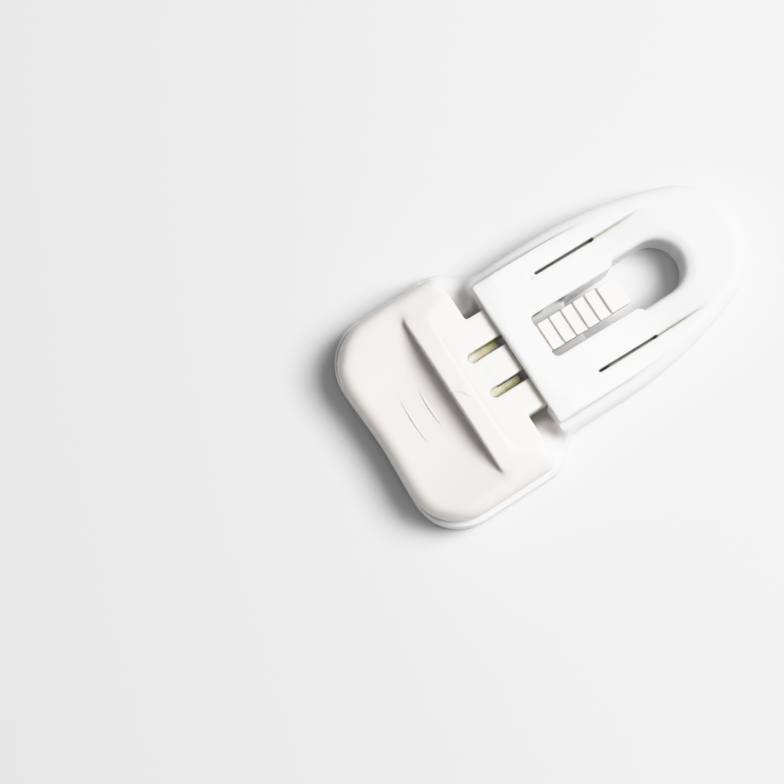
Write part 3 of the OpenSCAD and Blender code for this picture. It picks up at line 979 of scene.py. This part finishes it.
@dataclass
class UpperJaw(Moulding):
    """Upper jaw with its thumb dish, thumb ridge and wedge fingers."""

    step: float = 0.2
    thinning: float = 0.02
    edge_round: float = 0.24
    shoulder_round: float = 0.9
    shoulder_side: Span = (17.4, 19.4)
    shoulder_over: Span = (1.6, 2.8)
    half_w: float = 23.5
    front_r: float = 10.5
    waist: float = 0.5
    floor_rear_z: float = 12.15
    floor_fall: float = 1.25
    floor_power: float = 4
    shoulder_rear_z: float = 14.2
    shoulder_fall: float = 2.2
    shoulder_power: float = 1.5
    floor_half: Span = (10.6, 7.6)
    crease_round: float = 0.9
    roll_r: float = 2.8
    ridge_lap: float = 0.6
    slot_clear: float = 0.12
    # Painted shade in the slots: where it starts, how much is always there, where it is full, and how it
    # fades with depth and past the slot walls.
    painted_shade_end: float = 0.3
    painted_shade_least: float = 0.4
    painted_shade_full_u: float = -3.0
    painted_shade_depth: Span = (0.2, 1.4)
    painted_shade_side: Span = (0.3, 0.05)
    root_len: float = 2.4
    root_lap: float = 1.0
    cut_u: float = -6.4
    tick: tuple[Span, Span] = ((-15.6, 1.1), (-12.3, -2.0))
    tick_h: float = 0.3
    tick_half: float = 0.28
    tick_bow: float = 0.5
    tick_ends: Span = (0.4, 0.6)
    tick_z: Span = (12.0, 14.0)
    line_us: tuple[float, ...] = (-24.3, -20.0)
    line_ys: tuple[float, ...] = (0.15, 0.6)
    line_halves: tuple[float, ...] = (6.4, 5.2)
    line_bow: float = 0.32
    line_r: float = 0.34
    line_sink: float = 0.15
    line_points: int = 25
    probe_over: float = 1.0
    probe_step: float = 0.02

    def root_fill(self, grid: MouldField) -> np.ndarray:
        """Lays out the solid root that joins the tongue to the jaw, between the slots' round ends.

        Args:
            grid: Grid that the jaw or the tongue is made on.

        Returns:
            Distances to the root, negative inside it.
        """
        sizes = self.sizes
        u = grid.x - sizes.bridge_x
        over = sizes.over_wedge(u, grid.z)
        ends = -sizes.slot_ahead + sizes.slot_w / 2
        across = np.abs(grid.y) - sizes.slot_y
        slots = np.hypot(np.minimum(u - ends, 0.0), across) - sizes.slot_w / 2
        sides = np.maximum(across, -slots)
        front = -sizes.slot_ahead - self.root_len
        lengthways = np.maximum(front - u, u - (self.cut_u + self.root_lap))
        return np.maximum(np.maximum(sides, lengthways), np.maximum(over, -over - sizes.tongue_t))

    def slot_painted_shade(self, grid: MouldField) -> np.ndarray:
        """Lays out the painted shade inside the two slots, which deepens towards their floors and towards
        the bridge, where the bridge's shadow falls.

        Args:
            grid: Grid that the jaw is made on.

        Returns:
            Shares of the painted shade, from 0 to 1.
        """
        sizes = self.sizes
        u = grid.x - sizes.bridge_x
        sides = np.abs(np.abs(grid.y) - sizes.slot_y) - sizes.slot_w / 2
        depth = -sizes.over_wedge(u, grid.z)
        deepening = fade(-sizes.slot_ahead, self.painted_shade_full_u, u)
        lengthways = fade(-sizes.slot_ahead - self.painted_shade_end, -sizes.slot_ahead, u)
        lengthways = lengthways * (self.painted_shade_least + (1.0 - self.painted_shade_least) * deepening)
        return fade(*self.painted_shade_depth, depth) * fade(*self.painted_shade_side, sides) * lengthways

    def dish_block(self, grid: MouldField) -> np.ndarray:
        """Lays out the jaw in front of the ridge: a scooped dish between two shoulders, with a rolled edge.

        Args:
            grid: Grid that the jaw is made on.

        Returns:
            Distances to that block, negative inside it.
        """
        sizes = self.sizes
        u, y = (grid.x - sizes.bridge_x)[:, :, 0], np.abs(grid.y)[:, :, 0]
        share = np.clip((-sizes.ridge_ahead - u) / (sizes.jaw_reach - sizes.ridge_ahead), 0.0, 1.0)
        flat = self.half_w - self.front_r
        bowed = u - self.waist * (1.0 + np.cos(math.pi * np.minimum(y / flat, 1.0))) / 2.0
        ahead = self.front_r - sizes.jaw_reach - bowed
        aside = y - flat
        outside = np.hypot(np.maximum(ahead, 0.0), np.maximum(aside, 0.0))
        plan = outside + np.minimum(np.maximum(ahead, aside), 0.0) - self.front_r
        floor = self.floor_rear_z - self.floor_fall * (1.0 - (1.0 - share) ** self.floor_power)
        shoulder = self.shoulder_rear_z - self.shoulder_fall * share ** self.shoulder_power
        crease = self.floor_half[0] + (self.floor_half[1] - self.floor_half[0]) * share
        past = (np.hypot(y - crease, self.crease_round) + y - crease) / 2.0
        top = floor + (shoulder - floor) * past / (self.half_w - crease)
        left = np.clip(self.roll_r + plan, 0.0, self.roll_r)
        height = top - self.roll_r + np.sqrt(self.roll_r ** 2 - np.square(left))
        slope_u, slope_y = np.gradient(height, self.step)
        steep = np.sqrt(1.0 + np.square(slope_u) + np.square(slope_y))
        upper = (grid.z - height[:, :, None]) / steep[:, :, None]
        walls = np.maximum(plan, u + sizes.ridge_ahead - self.ridge_lap)[:, :, None]
        return np.maximum(np.maximum(upper, walls), sizes.grip_z - grid.z)

    def tick_rise(self, grid: MouldField) -> np.ndarray:
        """Lays out the small bowed tick that crosses the thumb ridge.

        Args:
            grid: Grid that the jaw is made on.

        Returns:
            Heights of the tick over the ridge.
        """
        (from_u, from_y), (to_u, to_y) = self.tick
        u = grid.x - self.sizes.bridge_x
        run, sway = to_u - from_u, to_y - from_y
        length = math.hypot(run, sway)
        along = ((u - from_u) * run + (grid.y - from_y) * sway) / length
        across = ((u - from_u) * sway - (grid.y - from_y) * run) / length
        bowed = across + self.tick_bow * np.sin(np.clip(along / length, 0.0, 1.0) * math.pi)
        before, within = self.tick_ends
        reach = fade(-before, within, along) * fade(length + before, length - within, along)
        return self.tick_h * (reach * fade(*self.tick_z, grid.z)) * swell(bowed, self.tick_half)

    def softened_jaw(self, grid: MouldField) -> np.ndarray:
        """Joins the jaw, its dish and the tongue with its root, and softens their edges.

        Args:
            grid: Grid that the jaw is made on.

        Returns:
            Distances to the softened jaw, with the tick on its ridge.
        """
        sizes = self.sizes
        u = grid.x - sizes.bridge_x
        values = grid.distances(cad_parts[self.body.value])
        values = np.where(u < -sizes.shoulder_gap, np.maximum(values, sizes.grip_z - grid.z), values)
        values = np.minimum(np.maximum(values, -sizes.ridge_ahead - u), self.dish_block(grid))
        values = np.minimum(values, grid.distances(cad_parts[Body.TONGUE.value]))
        values = np.minimum(values, self.root_fill(grid)).astype(np.float32)
        crisp = grid.softened(values, self.edge_round)
        soft = grid.softened(values, self.shoulder_round)
        low, high = (sizes.grip_z + over for over in self.shoulder_over)
        eased = fade(*self.shoulder_side, np.abs(grid.y)) * fade(low, high, grid.z)
        return crisp + eased * (soft - crisp) - self.tick_rise(grid)

    def build(self, grip_tree: bpy.types.NodeTree, rib_tree: bpy.types.NodeTree) -> None:
        """Builds the softened jaw up to the tongue's root, its grip ribs and its thumb lines.

        Args:
            grip_tree: Tree that draws a row of grip ribs.
            rib_tree: Tree that draws ribs along lines.
        """
        sizes = self.sizes
        grid = field_round(self.body, self.step)
        values = self.softened_jaw(grid)
        tongue_half = sizes.slot_y - sizes.slot_w / 2 + self.slot_clear
        tongue_zone = np.maximum(self.cut_u + sizes.bridge_x - grid.x, np.abs(grid.y) - tongue_half)
        trimmed = np.maximum(values, -tongue_zone)
        # The slots carry the painted shade attribute.
        jaw = grid.surface("upper_jaw_moulding", trimmed, self.thinning, self.slot_painted_shade(grid))
        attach(self.take(jaw), self.body.value)
        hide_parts(self.body.value)
        first = -sizes.jaw_reach + sizes.grip_start + sizes.grip_pitch / 2
        self.grips("upper_grip_ribs", grip_tree, sizes.grip_count - 1, first, sizes.grip_z)
        self.thumb_lines(grid, values, rib_tree)

    def thumb_lines(self, grid: MouldField, values: np.ndarray, rib_tree: bpy.types.NodeTree) -> None:
        """Lays the fine bowed lines on the floor of the thumb dish.

        Args:
            grid: Grid that the jaw was made on.
            values: The jaw's distances.
            rib_tree: Tree that draws ribs along lines.
        """
        heights = np.arange(self.sizes.grip_z + self.probe_over, self.sizes.bridge_top, self.probe_step)
        points, edges = [], []
        for line_u, line_y, half in zip(self.line_us, self.line_ys, self.line_halves):
            start = len(points)
            for share in np.linspace(-1.0, 1.0, self.line_points):
                x = line_u - self.line_bow * (1.0 - share * share) + self.sizes.bridge_x
                y = line_y + share * half
                column = np.stack([np.full_like(heights, x), np.full_like(heights, y), heights], axis=1)
                floor = heights[np.argmax(grid.sampled(values, column) > 0.0)]
                points.append((x * MM, y * MM, (floor - self.line_sink) * MM))
            edges += [(k, k + 1) for k in range(start, len(points) - 1)]
        drawn = bpy.data.meshes.new("thumb_lines_path")
        drawn.from_pydata(points, edges, [])
        lines = grown("thumb_lines", rib_tree, {"Radius": self.line_r * MM, "Material": self.finish}, drawn)
        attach(self.take(lines), self.body.value)


@dataclass
class RatchetTongue(Moulding):
    """Toothed tongue, which flexes at its root, where it joins the jaw's moulding."""

    jaw: UpperJaw | None = None
    step: float = 0.12
    thinning: float = 0.01
    edge_round: float = 0.1
    lap: float = 0.6
    lap_inset: float = 0.03
    lap_ease: Span = (-0.1, 0.5)
    bend_len: float = 4.0

    def build(self) -> None:
        """Builds the tongue from inside the jaw's root to its tip."""
        sizes = self.sizes
        grid = field_round(self.body, self.step)
        u = grid.x - sizes.bridge_x
        values = np.minimum(grid.distances(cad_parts[self.body.value]), self.jaw.root_fill(grid))
        values = grid.softened(values.astype(np.float32), self.edge_round)
        values = np.maximum(values, self.jaw.cut_u - self.lap - u)
        values = values + self.lap_inset * (1.0 - fade(*self.lap_ease, u - self.jaw.cut_u))
        tongue = grid.surface("ratchet_tongue_moulding", values, self.thinning)
        self.take(tongue)
        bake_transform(tongue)
        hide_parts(self.body.value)


@dataclass
class Studio:
    """Pale floor, soft lights and the camera at the photograph's angle."""

    azimuth: float = -32.8
    elevation: float = 82.0
    distance: float = 0.5427
    lens: float = 120.0
    sensor: float = 36.0
    image: float = 784.0
    aim: tuple[float, float, float] = (0.0, 0.0, 0.008)
    aim_pixel: Span = (558.6, 331.1)
    floor_size: float = 6.0
    floor_gap: float = 0.0002
    floor_dark: Colour = (0.79, 0.79, 0.79, 1.0)
    floor_pale: Colour = (0.82, 0.82, 0.82, 1.0)
    floor_roughness: float = 0.9
    mottle_scale: float = 5.0
    key_place: tuple[float, float, float] = (0.52, -0.19, 0.86)
    key_size: float = 0.56
    key_power: float = 10.1
    fill_place: tuple[float, float, float] = (0.10, -0.20, 1.3)
    fill_size: float = 1.2
    fill_power: float = 0.9
    surround: float = 0.15
    seen_from: Span = (0.01, 20.0)
    combined_curve: int = 3
    white: float = 2.0
    tones: tuple[Span, ...] = (
        (0.1, 0.115), (0.3, 0.37), (0.5, 0.64), (0.6, 0.755),
        (0.7, 0.84), (0.8, 0.895), (1.0, 0.948), (1.3, 0.975),
    )

    def build(self) -> None:
        """Builds the floor, the lights and the camera."""
        self.floor()
        self.lights()
        self.camera()
        self.develop()

    def develop(self) -> None:
        """Brightens the picture and rolls its highlights off softly, as a studio print does."""
        view = bpy.context.scene.view_settings
        view.view_transform = "Standard"
        view.use_curve_mapping = True
        mapping = view.curve_mapping
        mapping.white_level = (self.white, self.white, self.white)
        curve = mapping.curves[self.combined_curve]
        for seen, shown in self.tones:
            curve.points.new(seen / self.white, shown)
        mapping.update()

    def floor(self) -> None:
        """Lays the pale floor just under the clip."""
        half = self.floor_size / 2
        mesh = bpy.data.meshes.new("floor")
        corners = [(-half, -half), (half, -half), (half, half), (-half, half)]
        mesh.from_pydata([(x, y, -self.floor_gap) for x, y in corners], [], [(0, 1, 2, 3)])
        made = bpy.data.materials.new("pale_floor")
        made.use_nodes = True
        nodes, links = made.node_tree.nodes, made.node_tree.links
        shade = nodes.new("ShaderNodeTexNoise")
        shade.inputs["Scale"].default_value = self.mottle_scale
        tint = nodes.new("ShaderNodeMix")
        tint.data_type = "RGBA"
        tint.inputs[MixSocket.FIRST].default_value = self.floor_dark
        tint.inputs[MixSocket.SECOND].default_value = self.floor_pale
        links.new(shade.outputs["Fac"], tint.inputs[0])
        links.new(tint.outputs[MixSocket.RESULT], nodes["Principled BSDF"].inputs["Base Color"])
        nodes["Principled BSDF"].inputs["Roughness"].default_value = self.floor_roughness
        mesh.materials.append(made)
        floor = bpy.data.objects.new("floor", mesh)
        bpy.context.scene.collection.objects.link(floor)

    def lights(self) -> None:
        """Sets the key light over the eye's side, a wide fill overhead and a pale surround."""
        self.area("key_light", self.key_place, self.key_size, self.key_power)
        self.area("top_fill", self.fill_place, self.fill_size, self.fill_power)
        world = bpy.data.worlds.new("pale_surround")
        world.use_nodes = True
        surround = world.node_tree.nodes["Background"]
        surround.inputs["Color"].default_value = (1.0, 1.0, 1.0, 1.0)
        surround.inputs["Strength"].default_value = self.surround
        bpy.context.scene.world = world

    @staticmethod
    def area(name: str, place: tuple[float, float, float], size: float, power: float) -> None:
        """Hangs a square soft light that faces the clip.

        Args:
            name: Name of the light.
            place: Its place, in metres.
            size: Length of its sides.
            power: Its power in watts.
        """
        light = bpy.data.lights.new(name, "AREA")
        light.size = size
        light.energy = power
        lamp = bpy.data.objects.new(name, light)
        lamp.location = place
        lamp.rotation_euler = (-Vector(place)).to_track_quat("-Z", "Y").to_euler()
        bpy.context.scene.collection.objects.link(lamp)

    def camera(self) -> None:
        """Puts the camera so that the clip falls where it does in the photograph."""
        turn, tilt = math.radians(self.azimuth), math.radians(self.elevation)
        back = Vector((math.sin(turn) * math.cos(tilt), -math.cos(turn) * math.cos(tilt), math.sin(tilt)))
        right = Vector((math.cos(turn), math.sin(turn), 0.0))
        up = back.cross(right)
        per_pixel = self.sensor / self.lens / self.image * self.distance
        middle = self.image / 2
        aside = (self.aim_pixel[0] - middle) * per_pixel
        above = (middle - self.aim_pixel[1]) * per_pixel
        place = Vector(self.aim) + back * self.distance - right * aside - up * above
        data = bpy.data.cameras.new("camera")
        data.lens, data.sensor_width = self.lens, self.sensor
        data.clip_start, data.clip_end = self.seen_from
        camera = bpy.data.objects.new("camera", data)
        camera.matrix_world = Matrix.Translation(place) @ Matrix((right, up, back)).transposed().to_4x4()
        bpy.context.scene.collection.objects.link(camera)
        bpy.context.scene.camera = camera


def corners(bounds: tuple[Vector, Vector]) -> list[list[float]]:
    """Turns a box into plain lists of numbers."""
    return [[float(n) for n in corner] for corner in bounds]


def main() -> None:
    """Builds the mouldings and the studio, and logs the number of faces of each piece."""
    logging.basicConfig(level=logging.INFO, format="%(message)s")
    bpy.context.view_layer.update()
    sizes = ClipSizes()
    grain, wear_and_shade = mould_grain(), wear_and_painted_shade()
    body_finish = BODY_PLASTIC.material(grain, wear_and_shade)
    jaw_finish = JAW_PLASTIC.material(grain, wear_and_shade)
    grip_tree, rib_tree = grip_row_tree(), drawn_rib_tree()
    lower = LowerBody(sizes, body_finish, Slot.BODY, Body.LOWER)
    lower.build(grip_tree)
    jaw = UpperJaw(sizes, jaw_finish, Slot.JAW, Body.JAW)
    jaw.build(grip_tree, rib_tree)
    tongue = RatchetTongue(sizes, jaw_finish, Slot.JAW, Body.TONGUE, jaw=jaw)
    tongue.build()
    for piece in lower.pieces + jaw.pieces + tongue.pieces:
        LOG.info("%s: %d faces", piece.name, len(piece.data.polygons))
    Studio().build()


if __name__ == "__main__":
    main()
